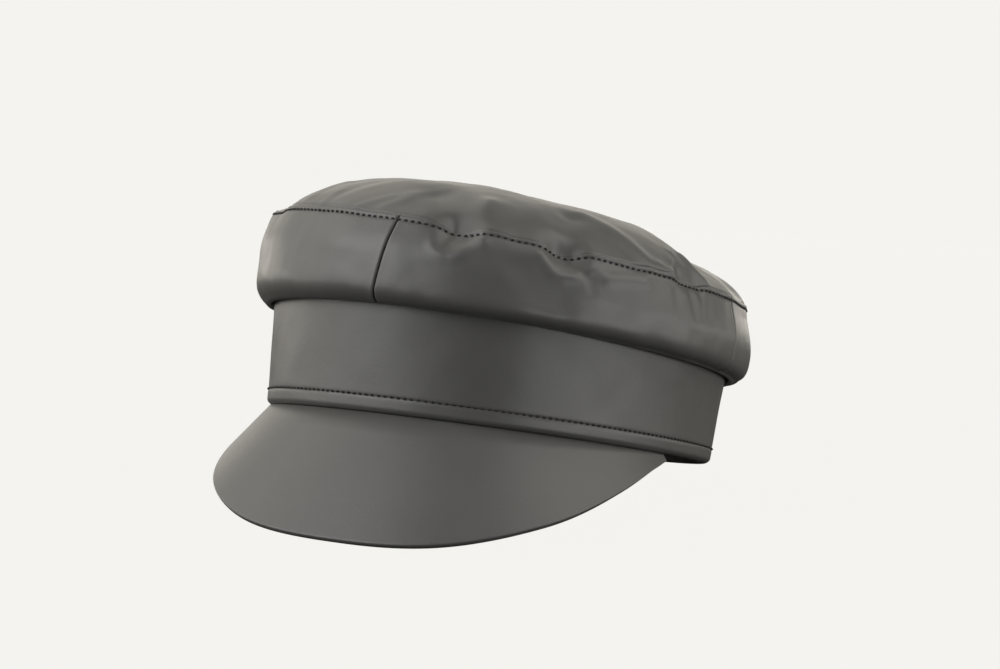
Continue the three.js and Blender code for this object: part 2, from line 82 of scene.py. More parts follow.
TOP_FULLNESS = 4  # power of the top's curve: larger is flatter, with a rounder shoulder
FOLD_END = 1.7  # reach at which the folds begin to fade out above the lip

PEAK_LEATHER = 2.6  # wall of the peak: leather over board
PEAK_LENGTH = 53.4  # from the band to the edge, in the middle
PEAK_HALF_ANGLE = 76  # how far round the band the peak reaches on each side
PEAK_INSET = 1.6  # how far behind the face of the band the peak comes out
PEAK_TUCK = 7  # sewing edge of the peak, turned up inside the band

PIECE_GAP = 0.3  # between pieces that are sewn to each other

RIM_HALF_WIDTH = HEAD_HALF_WIDTH + BAND_WALL
RIM_HALF_LENGTH = HEAD_HALF_LENGTH + BAND_WALL
SEAM_HALF_WIDTH = RIM_HALF_WIDTH + BAND_FLARE + SEAM_SIDE_OVERHANG
SEAM_HALF_LENGTH = RIM_HALF_LENGTH + BAND_FLARE + SEAM_END_OVERHANG
SEAM_HEIGHT = BAND_HEIGHT + SEAM_RISE
LIP_HALF_WIDTH = RIM_HALF_WIDTH + BAND_FLARE + LIP_SIDE_OVERHANG
LIP_HALF_LENGTH = RIM_HALF_LENGTH + BAND_FLARE + LIP_END_OVERHANG
LIP_HEIGHT = BAND_HEIGHT - LIP_DROP

# Reaches of the crown's lines: 0 in the middle of the top, 1 at the top seam, 2 at the lip, 3 at the end of
# the edge that it turns in
SEAM = 1
LIP = 2
END = 3
QUARTER = 90  # degrees of one panel of the side

# The turned-in edge: inward is 0 at the lip, 1 at the face of the band and 2 at its inside; rise is 0 at the
# lip and 1 at the top of the band.
TUCK_ROWS = np.array([
    (0, 0), (0.25, -0.08), (0.55, -0.07), (0.82, 0.15), (0.95, 0.55), (1, 1), (1.85, 1),
], dtype=[("inward", float), ("rise", float)])

# The peak from its middle to its end: along, width and wall are shares of PEAK_HALF_ANGLE, PEAK_LENGTH and
# PEAK_LEATHER, and drop is its slope in degrees.
PEAK_ROWS = np.array([
    (0, 1, 60, 1),
    (0.25, 0.967, 57, 1),
    (0.5, 0.73, 54, 1),
    (0.75, 0.362, 53, 1),
    (0.9, 0.152, 52.5, 1),
    (1, 0.05, 52.5, 0.6),
], dtype=[("along", float), ("width", float), ("drop", float), ("wall", float)])

# Folds of the crown's leather, each along a line from one angle and reach to another. width is how far from
# the line its depth has mostly gone, and depth is above 0 for a dent and below 0 for a ridge.
FOLD_COLUMNS = [(name, float) for name in ("angle0", "reach0", "angle1", "reach1", "width", "depth")]
FOLDS = np.array([
    # first dip of the top seam: a scoop in the side under it, and a valley that runs from it into the top
    (13.5, 1.0, 16.5, 1.0, 5.6, 4.0),
    (12.5, 1.2, 16.5, 1.17, 4, 1.0),
    (9.3, 1.29, 10.6, 1.36, 2.8, -0.7),
    (12.4, 1.4, 14.2, 1.4, 2.8, -0.8),
    (16.2, 1.335, 19.6, 1.16, 2.8, -0.9),
    (12, 0.97, 4, 0.82, 8, 2.0),
    (18, 0.97, 18.5, 0.84, 5, -1.0),
    # shelf of the side between the dips
    (21, 1.19, 31, 1.19, 5, -1.0),
    # second dip, with its folds
    (36.9, 1.0, 39.5, 1.02, 4.9, 4.9),
    (27, 1.0, 33, 1.0, 4, 0.8),
    (37.5, 1.17, 41, 1.2, 4.5, 1.2),
    (32.6, 1.19, 35.6, 1.37, 2.6, -0.9),
    (37.6, 1.4, 40.6, 1.36, 2.3, -0.8),
    (43, 1.23, 45, 1.19, 2.7, -1.1),
    (43.5, 1.34, 44.2, 1.5, 1.6, 0.45),
    (47.6, 1.3, 57, 1.2, 3.4, -1.1),
    (47.5, 1.17, 57, 1.08, 3, 0.4),
    (38, 0.95, 41, 0.8, 7, 1.8),
    (30, 1.5, 37, 1.68, 11, 1.1),
    # step in the seam, and the puckers under it
    (62.5, 0.98, 64.5, 1.0, 3, -0.7),
    (69.2, 1.01, 74.5, 1.01, 4.5, 2.3),
    (66, 1.2, 66.8, 1.6, 2.6, 0.5),
    (71.2, 1.14, 72.2, 1.48, 2.3, 0.5),
    (75.5, 1.1, 74.6, 1.45, 2.0, 0.35),
    (78.5, 1.1, 77.2, 1.45, 2.4, 0.35),
    # top above the step
    (46.5, 0.74, 58.8, 0.975, 4.6, -0.85),
    (44, 0.93, 52, 0.95, 7, 0.9),
    (71.5, 0.88, 66, 0.985, 1.8, -0.6),
    (70.5, 0.9, 69, 0.97, 2.2, 0.5),
    (76.3, 0.88, 78.6, 0.975, 2.7, -0.9),
    (81, 0.93, 86, 0.86, 6, 0.9),
    # sweeping wrinkles of the top, over the front
    (-40, 0.955, -46, 0.76, 2.6, -0.45),
    (-33, 0.955, -42, 0.76, 2.6, -0.5),
    (-24, 1.0, -25.8, 0.905, 2.4, -0.4),
    (-11.8, 0.985, -6.2, 0.91, 2.2, -0.4),
    (-5.2, 0.97, -1.8, 0.925, 2.2, -0.4),
    (-3, 0.9, 4, 0.76, 3.2, -0.4),
    (-24, 0.93, -20, 0.72, 5, 0.5),
    (27, 0.62, 46, 0.5, 22, 0.8),
    # slack on the far side and at the back
    (-56, 0.95, -64, 0.66, 9, 1.4),
    (-45, 0.97, -58, 0.9, 8, 1.7),
    (-64, 1.06, -56, 1.06, 4.5, -1.1),
    (-80, 0.98, -76, 1.04, 7, 2.6),
    (-83, 1.12, -84, 1.4, 3, 0.8),
    (-76, 1.22, -70, 1.24, 4, -0.7),
    (-113, 0.99, -109, 1.02, 6, 3.0),
    (-107, 0.96, -98, 0.78, 8, 1.6),
    (-118, 1.2, -108, 1.3, 4, -0.7),
    (-139, 0.95, -126, 0.7, 4, -0.9),
    (88, 0.8, 130, 0.76, 12, 3.2),
    (-38, 0.8, -18, 0.63, 14, 0.9),
    (97, 0.9, 102, 0.92, 7, 0.9),
    (107, 0.955, 128, 0.94, 8, -1.3),
    (135, 0.97, 142, 0.72, 9, 1.5),
    (131, 1.0, 135, 1.02, 6, 2.8),
    (128, 1.28, 138, 1.26, 4, -0.7),
    (137, 1.12, 138, 1.5, 2, 0.7),
    (148, 0.93, 160, 0.68, 4, -0.8),
    (163, 1.0, 168, 1.0, 6.5, 2.4),
    (166, 0.95, 176, 0.76, 9, 1.4),
    (-160, 0.99, -156, 1.01, 6, 2.6),
    (-163, 1.14, -163, 1.5, 2.2, 0.7),
    (-152, 0.92, -142, 0.7, 8, 1.2),
], dtype=FOLD_COLUMNS)

# Seams, hem and stitches
SEAM_GROOVE_DEPTH = 0.4  # of the sunk line where two pieces meet
SEAM_GROOVE_WIDTH = 0.4
WELT_WIDTH = 2.1  # of the raised strip between the top seam and its stitches
WELT_HEIGHT = 0.4
ALLOWANCE_WIDTH = 7  # turned-under leather below the stitches
ALLOWANCE_HEIGHT = 0.2
WELT_SQUARENESS = 4  # power of its section: larger is squarer
STITCH_GROOVE_DEPTH = 0.3  # that the stitches of the top seam lie in
STITCH_GROOVE_WIDTH = 0.5
STITCH_SETBACK = 0.25  # of those stitches, past the edge of the raised strip
STITCH_DROP = WELT_WIDTH + STITCH_SETBACK
FRONT_SEAM_DEPTH = 0.8  # of the upright seam at the front, the deepest
SIDE_SEAM_DEPTH = 0.3  # of the other upright seams
SIDE_SEAM_WIDTH = 0.45
SIDE_SEAM_SHARPNESS = 1.5  # power of its section: 2 is a round groove, 1 a sharp one
SIDE_SEAM_SWELL = 0.14  # of the leather beside an upright seam
SIDE_SEAM_SWELL_WIDTH = 2.4
SIDE_SEAM_START = 0.4  # an upright seam deepens over this length below the top seam
BACK_SEAM_WIDTH = 0.6  # of the band's upright seam at the back
HEM_ROLL = 1.8  # how round the hem is: at 1 its edges are level with the band's face, above 1 they lie deeper
HEM_ROLL_SQUARENESS = 4  # power of its section: larger is squarer
HEM_TURN_HEIGHT = 2  # above the rim, where its lower edge begins to round in
HEM_TURN_POWER = 2.2  # of that rounding: larger keeps it closer to the rim
HEM_STEP = 0.15  # how far the band still stands out just above the stitches of its hem
HEM_STEP_FADE = 6  # over how far up that is mostly gone
HEM_GROOVE_DEPTH = 0.18  # that the stitches of the hem lie in
HEM_INSIDE_SWELL = 0.3  # how much thicker the hem is towards the inside, and where
HEM_INSIDE_HEIGHT = 3
HEM_INSIDE_WIDTH = 2.4
STITCH_PITCH = 2.6
STITCH_LENGTH = 1.75
STITCH_SHORTEST = 0.86  # shares of that length
STITCH_LONGEST = 1.1
STITCH_LEAN = 0.07  # share of its length by which a stitch leans at most
STITCH_LIFT = 0.05  # of a thread's middle line above the leather, before its arch
STITCH_ARCH = 0.9  # of a thread, in thread radii, and how far its ends dip
STITCH_DIP = 2.4
THREAD_RADIUS = 0.37

# Slight waves of soft leather, broad and fine: height, length, seed and how much the upright way is squeezed
CROWN_WAVES = ((0.24, 36, 11, 1), (0.07, 13, 12, 1))
BAND_WAVES = ((0.22, 46, 21, 0.7), (0.06, 17, 22, 1))
BAND_WAVE_FADE = 9  # above the rim, where the band's waves have their full height

# Rounded lengths by which rows and waves are spaced
TOP_RUN = 101  # from the middle of the top to its seam
SIDE_RUN = 34  # from the top seam to the lip
BAND_RADIUS = 95
LINE_STEPS = 1400  # points of the line that a row of stitches follows

# Small steps of reach and angle by which slopes are measured, and the smallest length that is divided by
SMOOTH_STEP = 0.04
FOLDED_STEP = 0.02
FOLDED_TURN = 0.5
TINY = 1e-9
WELD_DISTANCE = 1e-7  # in metres: points of a mesh this close are one

# How the cap stands, from the flat rim of the band that the record gives
rim = frame["record"]["mounts"][0]
cap_up = -Vector(rim["axis"])
cap_turn = Matrix(((1, 0, 0), (0, cap_up.z, cap_up.y), (0, -cap_up.y, cap_up.z)))
RIM_POINT = Vector((0, 101.2, 0))  # the record's point on the rim, in the cap's own frame
cap_origin = Vector(rim["pos_m"]) - cap_turn @ RIM_POINT * MM
CAP_TURN = np.array(cap_turn)
CAP_ORIGIN = np.array(cap_origin)


def place(points):
    """Points in the cap's own frame, in millimetres, as points of the scene, in metres."""
    return np.asarray(points, float) @ CAP_TURN.T * MM + CAP_ORIGIN


def unit(vectors):
    length = np.linalg.norm(vectors, axis=-1, keepdims=True)
    return vectors / np.maximum(length, TINY)


def smoothstep(value, low, high):
    t = np.clip((value - low) / (high - low), 0, 1)
    return t * t * (3 - 2 * t)


def curve(rows, place_name, column, at):
    """A smooth curve through one column of a table, level at its first row, as the solids read theirs."""
    x = rows[place_name]
    y = rows[column]
    n = len(x)
    slopes = np.array([(y[min(i + 1, n - 1)] - y[max(i - 1, 0)]) / (x[min(i + 1, n - 1)] - x[max(i - 1, 0)])
                       for i in range(n)])
    slopes[0] = 0
    i = np.clip(np.searchsorted(x, at, side="left") - 1, 0, n - 2)
    span = x[i + 1] - x[i]
    t = (at - x[i]) / span
    rise = y[i + 1] - y[i]
    first = slopes[i] * span - rise
    last = rise - slopes[i + 1] * span
    return y[i] + t * rise + t * (1 - t) * ((1 - t) * first + t * last)


def noise(x, y, scale, seed):
    """Smooth seeded unevenness between about -1 and 1, over a chart of two lengths."""
    rng = np.random.default_rng(seed)
    total = np.zeros(np.broadcast(x, y).shape)
    waves = 14
    shortest, longest = 0.7, 1.6
    usual_peak = 1.6
    for _ in range(waves):
        heading = rng.uniform(0, 2 * math.pi)
        pace = 2 * math.pi / (scale * rng.uniform(shortest, longest))
        phase = rng.uniform(0, 2 * math.pi)
        total += np.sin((x * math.cos(heading) + y * math.sin(heading)) * pace + phase)
    return total / math.sqrt(waves / 2) / usual_peak


def waviness(x, y, waves):
    """Slight waves of the leather over a chart of two lengths."""
    return sum(height * noise(x, y * squeeze, length, seed) for height, length, seed, squeeze in waves)


# The oval forms

def oval(angle, half_width, half_length, height):
    a = np.radians(angle)
    parts = np.broadcast_arrays(half_width * np.sin(a), -half_length * np.cos(a), height)
    return np.stack(parts, -1).astype(float)


def outward(angle):
    """The level direction that faces out of the rim's oval."""
    a = np.radians(angle)
    parts = np.broadcast_arrays(RIM_HALF_LENGTH * np.sin(a), -RIM_HALF_WIDTH * np.cos(a), 0.0)
    return unit(np.stack(parts, -1))


def crown_sizes(angle, reach):
    """Half width, half length and height of the crown's smooth outside."""
    a = np.radians(angle)
    seam_height = SEAM_HEIGHT + SEAM_FRONT_RISE * np.cos(a) - SEAM_LEFT_DROP * np.sin(a)
    lip_height = LIP_HEIGHT + LIP_RISE * np.cos(a - math.radians(LIP_HIGH_ANGLE))
    on_top = np.minimum(reach, SEAM)
    dome = TOP_RISE * (1 - on_top ** TOP_FULLNESS)
    top = (SEAM_HALF_WIDTH * on_top, SEAM_HALF_LENGTH * on_top,
           SEAM_HEIGHT + (seam_height - SEAM_HEIGHT) * on_top + dome)
    up = np.clip(LIP - reach, 0, 1)
    fullest = SIDE_FULLEST - SAG_SHARE * np.cos(a - math.radians(SAG_ANGLE))
    share = up ** (math.log(0.5) / np.log(fullest))
    roll = LIP_ROLL + LIP_ROLL_MORE * np.cos(a - math.radians(LIP_ROLL_ANGLE))
    rolled = 1 - np.maximum(1 - 2 * share, 0) ** roll
    swell = SIDE_SWELL * np.where(up < fullest, rolled, np.sin(math.pi * share))
    side = (LIP_HALF_WIDTH + (SEAM_HALF_WIDTH - LIP_HALF_WIDTH) * up + swell,
            LIP_HALF_LENGTH + (SEAM_HALF_LENGTH - LIP_HALF_LENGTH) * up + swell,
            lip_height + (seam_height - lip_height) * up)
    row = np.clip(reach - LIP, 0, 1) * (len(TUCK_ROWS) - 1)
    inward = np.interp(row, np.arange(len(TUCK_ROWS)), TUCK_ROWS["inward"])
    rise = np.interp(row, np.arange(len(TUCK_ROWS)), TUCK_ROWS["rise"])
    tuck_height = lip_height + (BAND_HEIGHT + PIECE_GAP - lip_height) * rise
    flare = BAND_FLARE * np.minimum(tuck_height, BAND_HEIGHT) / BAND_HEIGHT
    clear = PIECE_GAP - BAND_WALL * np.maximum(inward - 1, 0)
    to_face = np.minimum(inward, 1)
    tuck = (LIP_HALF_WIDTH + (RIM_HALF_WIDTH + flare + clear - LIP_HALF_WIDTH) * to_face,
            LIP_HALF_LENGTH + (RIM_HALF_LENGTH + flare + clear - LIP_HALF_LENGTH) * to_face,
            tuck_height)
    return [np.where(reach <= SEAM, t, np.where(reach <= LIP, s, k)) for t, s, k in zip(top, side, tuck)]


def smooth_facing(angle, reach):
    """The direction that the smooth crown faces, in the upright plane through its axis."""
    a = crown_sizes(angle, np.maximum(reach - SMOOTH_STEP, 0))
    b = crown_sizes(angle, np.minimum(reach + SMOOTH_STEP, END))
    run = (b[0] + b[1] - a[0] - a[1]) / 2
    fall = a[2] - b[2]
    length = np.maximum(np.hypot(run, fall), TINY)
    facing = outward(angle) * (fall / length)[..., None]
    facing[..., 2] = run / length
    return facing


def chart(angle, reach):
    """The crown laid flat as a disc, in which distances to folds are measured."""
    a = np.radians(angle)
    side_length = SEAM_HEIGHT - LIP_HEIGHT
    radius = SEAM_HALF_LENGTH * np.minimum(reach, SEAM) + side_length * np.maximum(reach - SEAM, 0)
    return np.stack(np.broadcast_arrays(radius * np.sin(a), -radius * np.cos(a)), -1)


def fold_depth(angle, reach):
    """How far the folds press the leather in."""
    here = chart(angle, reach)
    depth = np.zeros(here.shape[:-1])
    for fold in FOLDS:
        start = chart(fold["angle0"], fold["reach0"])
        line = chart(fold["angle1"], fold["reach1"]) - start
        share = np.clip(((here - start) @ line) / (line @ line), 0, 1)
        away = np.linalg.norm(here - start - share[..., None] * line, axis=-1)
        depth += fold["depth"] * np.exp(-((away / fold["width"]) ** 2))
    return depth * (1 - smoothstep(reach, FOLD_END, LIP))


def crown_surface(angle, reach):
    """Points of the crown's folded outside, before its seams are worked in, and the way that it faces."""

    def at(angles, reaches):
        point = oval(angles, *crown_sizes(angles, reaches))
        return point - smooth_facing(angles, reaches) * fold_depth(angles, reaches)[..., None]

    point = at(angle, reach)
    onward = at(angle, np.minimum(reach + FOLDED_STEP, END)) - at(angle, np.maximum(reach - FOLDED_STEP, 0))
    around = at(angle + FOLDED_TURN, reach) - at(angle - FOLDED_TURN, reach)
    facing = unit(np.cross(onward, around))
    facing[reach < FOLDED_STEP] = (0, 0, 1)
    return point, facing


# Meshes

def mesh_object(name, vertices, faces):
    mesh = bpy.data.meshes.new(name)
    mesh.from_pydata(place(vertices).tolist(), [], faces)
    work = bmesh.new()
    work.from_mesh(mesh)
    bmesh.ops.remove_doubles(work, verts=work.verts, dist=WELD_DISTANCE)
    bmesh.ops.recalc_face_normals(work, faces=work.faces)
    work.to_mesh(mesh)
    work.free()
    mesh.shade_smooth()
    obj = bpy.data.objects.new(name, mesh)
    bpy.context.scene.collection.objects.link(obj)
    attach(obj, "root")
    return obj


def grid_shell(name, outer, inner, round_about):
    """The closed wall between two grids of points, [section, row]. The two may differ in rows but not in
    sections; a round one joins its last section to its first, an open one gets an end face at both."""
    sections, outer_rows = outer.shape[:2]
    inner_rows = inner.shape[1]
    vertices = np.concatenate([outer.reshape(-1, 3), inner.reshape(-1, 3)])
    base = sections * outer_rows
    faces = []
    for i in range(sections if round_about else sections - 1):
        k = (i + 1) % sections
        for j in range(outer_rows - 1):
            faces.append((i * outer_rows + j, i * outer_rows + j + 1,
                          k * outer_rows + j + 1, k * outer_rows + j))
        for j in range(inner_rows - 1):
            faces.append((base + i * inner_rows + j, base + k * inner_rows + j,
                          base + k * inner_rows + j + 1, base + i * inner_rows + j + 1))
        faces.append((i * outer_rows, k * outer_rows, base + k * inner_rows, base + i * inner_rows))
        faces.append((i * outer_rows + outer_rows - 1, base + i * inner_rows + inner_rows - 1,
                      base + k * inner_rows + inner_rows - 1, k * outer_rows + outer_rows - 1))
    if not round_about:
        for i in (0, sections - 1):
            outer_line = [i * outer_rows + j for j in range(outer_rows)]
            inner_line = [base + i * inner_rows + j for j in range(inner_rows)]
            if outer_rows == inner_rows:
                faces += [(outer_line[j], inner_line[j], inner_line[j + 1], outer_line[j + 1])
                          for j in range(outer_rows - 1)]
            else:
                faces.append(tuple(outer_line + inner_line[::-1]))
    return mesh_object(name, vertices, faces)


def clustered(low, high, count, fine):
    """Places from low to high, closer together at both ends by the power fine."""
    t = np.linspace(-1, 1, count)
    t = np.sign(t) * (1 - (1 - np.abs(t)) ** fine)
    return low + (high - low) * (t + 1) / 2


# How the seams work the leather: heights above the folded surface

def bump(distance, width):
    return np.exp(-((distance / width) ** 2))


def welt_relief(below):
    """Relief of the side panels at a distance below the top seam."""
    groove = SEAM_GROOVE_DEPTH * bump(below, SEAM_GROOVE_WIDTH)
    across = (below - WELT_WIDTH / 2) / (WELT_WIDTH / 2)
    welt = WELT_HEIGHT * np.clip(1 - across ** WELT_SQUARENESS, 0, 1)
    stitched = STITCH_GROOVE_DEPTH * bump(below - STITCH_DROP, STITCH_GROOVE_WIDTH)
    allowance = ALLOWANCE_HEIGHT * (1 - smoothstep(below, WELT_WIDTH, ALLOWANCE_WIDTH))
    return np.where(below < WELT_WIDTH, np.maximum(welt, allowance), allowance) - groove - stitched


def side_seam_relief(away, depth):
    """Relief at a distance from an upright seam of the side."""
    swell = SIDE_SEAM_SWELL * bump(away - SIDE_SEAM_SWELL_WIDTH / 2, SIDE_SEAM_SWELL_WIDTH / 2)
    return swell - depth * np.exp(-np.abs(away / SIDE_SEAM_WIDTH) ** SIDE_SEAM_SHARPNESS)


def unevenness(angle, reach):
    """The slight waviness of the crown's leather, which fades out round the lip."""
    flat = chart(angle, reach)
    fade = 1 - smoothstep(reach, LIP - 0.1, LIP + 0.1)
    return waviness(flat[..., 0], flat[..., 1], CROWN_WAVES) * fade


# The crown

def side_length_at(angle):
    """Length of the side from the top seam down to the lip."""
    samples = 25
    reaches = np.linspace(SEAM, LIP, samples)
    points = oval(np.asarray(angle)[..., None], *crown_sizes(np.asarray(angle)[..., None], reaches))
    return np.linalg.norm(np.diff(points, axis=-2), axis=-1).sum(-1)


def crown_top():
    """The top of the crown, whose leather dips into the groove of its seam."""
    columns = 440
    even_rows, inner_rows = 62, 24
    to_seam = np.array([12, 10, 8.3, 6.8, 5.5, 4.4, 3.5, 2.7, 2, 1.5, 1.1, 0.8, 0.55, 0.35, 0.18, 0])
    shoulder = 6  # place in that list of a row that the inside has too
    angles = np.linspace(-180, 180, columns, endpoint=False)[:, None]
    edge = SEAM - PIECE_GAP / 2 / SEAM_HALF_WIDTH
    near = edge - to_seam / TOP_RUN
    reaches = np.concatenate([np.linspace(0, near[0], even_rows)[:-1], near])[None, :]
    angle, reach = np.broadcast_arrays(angles, reaches)
    point, facing = crown_surface(angle, reach)
    from_seam = (edge - reach) * (SEAM_HALF_WIDTH + SEAM_HALF_LENGTH) / 2
    relief = unevenness(angle, reach) - SEAM_GROOVE_DEPTH * bump(from_seam, SEAM_GROOVE_WIDTH)
    outer = point + facing * relief[..., None]
    few = np.concatenate([np.linspace(0, near[0], inner_rows), [near[shoulder], near[-1]]])[None, :]
    inner_point, inner_facing = crown_surface(*np.broadcast_arrays(angles, few))
    inner = inner_point - inner_facing * CROWN_LEATHER
    obj = grid_shell("crown_top_leather", outer, inner, True)
    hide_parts("crown_top")
    return obj


def slanted(angle, reach):
    """The front seam isn't quite upright: the side's leather leans a little, most of all there."""
    share = np.clip(1 - np.abs(angle) / QUARTER, 0, 1)
    down = np.clip(reach - SEAM, 0, 1)
    return angle + share * (FRONT_SEAM_TOP_ANGLE + (FRONT_SEAM_FOOT_ANGLE - FRONT_SEAM_TOP_ANGLE) * down)


def crown_side(name, node, start):
    """One quarter of the crown's side, with its worked seams and the edge that it turns in."""
    columns, lower_rows, inner_rows = 131, 36, 26
    closeness = 1.35  # power by which the columns and rows draw together towards the seams and the lip
    tuck_steps = 4  # of the turned-in edge between two rows of its table
    from_seam = np.array([0, 0.2, 0.4, 0.65, 1, 1.4, 1.75, 2, 2.2, 2.4, 2.65, 3, 3.6, 4.4, 5.4, 6.5])
    finish = start + QUARTER
    seam_gap = math.degrees(PIECE_GAP / 2 / RIM_HALF_WIDTH)
    angles = clustered(start + seam_gap, finish - seam_gap, columns, closeness)[:, None]
    below = from_seam / SIDE_RUN
    top = SEAM + PIECE_GAP / 2 / (SEAM_HEIGHT - LIP_HEIGHT)
    lower = LIP - (LIP - top - below[-1]) * (1 - np.linspace(0, 1, lower_rows)[1:]) ** closeness
    tuck = np.linspace(LIP, END, tuck_steps * (len(TUCK_ROWS) - 1) + 1)[1:]
    reaches = np.concatenate([top + below, lower, tuck])
    angle, reach = np.broadcast_arrays(angles, reaches[None, :])
    point, facing = crown_surface(slanted(angle, reach), reach)
    lengths = side_length_at(angles[:, 0])[:, None]
    from_top = (reach - top) * lengths
    radius = np.linalg.norm(point[..., :2], axis=-1)
    from_side = np.radians(np.minimum(angle - start, finish - angle)) * radius
    hanging = 1 - smoothstep(reach, LIP + 0.05, LIP + 0.3)
    relief = welt_relief(from_top) + unevenness(slanted(angle, reach), reach)
    depth = np.where(np.abs(angle) < QUARTER / 2, FRONT_SEAM_DEPTH, SIDE_SEAM_DEPTH)
    relief = relief + side_seam_relief(from_side, depth) * hanging * smoothstep(from_top, 0, SIDE_SEAM_START)
    outer = point + facing * relief[..., None]
    side_rows = LIP - (LIP - top) * (1 - np.linspace(0, 1, inner_rows)) ** closeness
    few = np.concatenate([side_rows, tuck])[None, :]
    angle, reach = np.broadcast_arrays(angles, few)
    inner_point, inner_facing = crown_surface(slanted(angle, reach), reach)
    inner = inner_point - inner_facing * CROWN_LEATHER
    obj = grid_shell(name, outer, inner, False)
    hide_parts(node)
    return obj


# The band

def band_size(height):
    flare = BAND_FLARE * height / BAND_HEIGHT
    return RIM_HALF_WIDTH + flare, RIM_HALF_LENGTH + flare


def hem_relief(height):
    """Relief of the band's face over its rolled hem, whose stitches lie at its top."""
    share = np.clip(height / HEM_HEIGHT, 0, 1)
    section = np.sqrt(np.clip(1 - (2 * share - 1) ** HEM_ROLL_SQUARENESS, 0, 1))
    roll = HEM_SWELL * (1 + HEM_ROLL * (section - 1)) * (height < HEM_HEIGHT)
    under = HEM_TURN * np.clip(1 - height / HEM_TURN_HEIGHT, 0, 1) ** HEM_TURN_POWER
    above = HEM_STEP * np.exp(-(height - HEM_HEIGHT) / HEM_STEP_FADE) * (height >= HEM_HEIGHT)
    return roll + above - under - HEM_GROOVE_DEPTH * bump(height - HEM_HEIGHT, STITCH_GROOVE_WIDTH)


def band_waviness(angle, height, waves):
    return waviness(np.radians(angle) * BAND_RADIUS, height, waves) * smoothstep(height, 0, BAND_WAVE_FADE)


def band():
    """The band with its rolled hem, and its seam at the back."""
    columns, hem_rows, even_rows = 640, 22, 24
    above_hem = np.array([0.2, 0.45, 0.8, 1.3, 2, 3])
    even_start = 10
    inner_heights = np.array([0, 1, 3, 8, 16, 30, BAND_HEIGHT])
    angles = np.linspace(-180, 180, columns, endpoint=False)[:, None]
    hem = HEM_HEIGHT * (1 - np.cos(np.linspace(0, math.pi, hem_rows))) / 2
    rows = np.concatenate([hem, HEM_HEIGHT + above_hem, np.linspace(even_start, BAND_HEIGHT, even_rows)])
    angle, height = np.broadcast_arrays(angles, rows[None, :])
    half_width, half_length = band_size(height)
    face = oval(angle, half_width, half_length, height)
    out = outward(angle)
    from_back = (math.pi - np.radians(np.abs(angle))) * RIM_HALF_LENGTH
    back_seam = FRONT_SEAM_DEPTH * bump(from_back, BACK_SEAM_WIDTH)
    relief = hem_relief(height) + band_waviness(angle, height, BAND_WAVES) - back_seam
    outer = face + out * relief[..., None]
    angle, height = np.broadcast_arrays(angles, inner_heights[None, :])
    half_width, half_length = band_size(height)
    thickness = BAND_WALL + HEM_INSIDE_SWELL * bump(height - HEM_INSIDE_HEIGHT, HEM_INSIDE_WIDTH)
    inner = oval(angle, half_width, half_length, height) - outward(angle) * thickness[..., None]
    obj = grid_shell("band_leather_wall", outer, inner, True)
    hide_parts("band")
    return obj


# The peak

def wall_faces(middle, thickness):
    """The two faces of a wall, from its middle line and thickness in the upright plane of each section."""
    step = unit(np.diff(middle, axis=-2))
    into = np.concatenate([step[..., :1, :], step], -2)
    onward = np.concatenate([step, step[..., -1:, :]], -2)
    mitre = thickness / 2 / (1 + (into * onward).sum(-1))
    both = into + onward
    across = np.stack([-both[..., 1] * mitre, both[..., 0] * mitre], -1)
    return middle + across, middle - across


def peak():
    """The peak, from its sewing edge up inside the band, out under the rim and down to its round edge."""
    sections = 261
    closeness = 1.15  # power by which the sections draw together towards the ends
    even_reaches = np.linspace(0.15, 0.9, 30)
    near_edge = np.array([0.08, 0.06, 0.045, 0.03, 0.02])
    round_edge = np.array([0.9, 0.55, 0.3, 0.13, 0.03, 0.0])  # shares of what is left of the length
    edge_squareness = 4
    least_wall = 0.02  # share of the wall that is left at the very edge
    tuck_bend = 2.0  # height at which the sewing edge has turned upright
    shares = clustered(-1, 1, sections, closeness)
    width = PEAK_LENGTH * curve(PEAK_ROWS, "along", "width", np.abs(shares))
    drop = np.radians(curve(PEAK_ROWS, "along", "drop", np.abs(shares)))
    wall = PEAK_LEATHER * curve(PEAK_ROWS, "along", "wall", np.abs(shares))
    behind = -(BAND_WALL + PIECE_GAP + wall / 2)
    below = -(PIECE_GAP + wall / 2)
    reaches = np.concatenate([even_reaches, 1 - near_edge])
    tuck = [
        (behind, np.full_like(wall, PEAK_TUCK)),
        (behind, np.full_like(wall, tuck_bend)),
        (behind, below),
        (np.full_like(wall, -PEAK_INSET), below),
    ]
    rows = [np.stack(point, -1) for point in tuck]
    sizes = [wall] * len(rows)
    for reach in reaches:
        long = width * reach
        rows.append(np.stack([long * np.cos(drop) - PEAK_INSET, below - long * np.sin(drop)], -1))
        sizes.append(wall)
    last = width * reaches[-1]
    for share in round_edge:
        long = last + (width - last) * (1 - share)
        rows.append(np.stack([long * np.cos(drop) - PEAK_INSET, below - long * np.sin(drop)], -1))
        full = math.sqrt(1 - (1 - share) ** edge_squareness)
        sizes.append(wall * (full * (1 - least_wall) + least_wall))
    upper, under = wall_faces(np.stack(rows, 1), np.stack(sizes, 1))
    angle = (PEAK_HALF_ANGLE * shares)[:, None]
    rim_line = oval(angle, RIM_HALF_WIDTH, RIM_HALF_LENGTH, 0)
    out = outward(angle)

    def solid(face):
        points = rim_line + out * face[..., :1]
        points[..., 2] = face[..., 1]
        return points

    obj = grid_shell("peak_leather_leaf", solid(upper), solid(under), False)
    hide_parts("peak")
    return obj


# Stitches

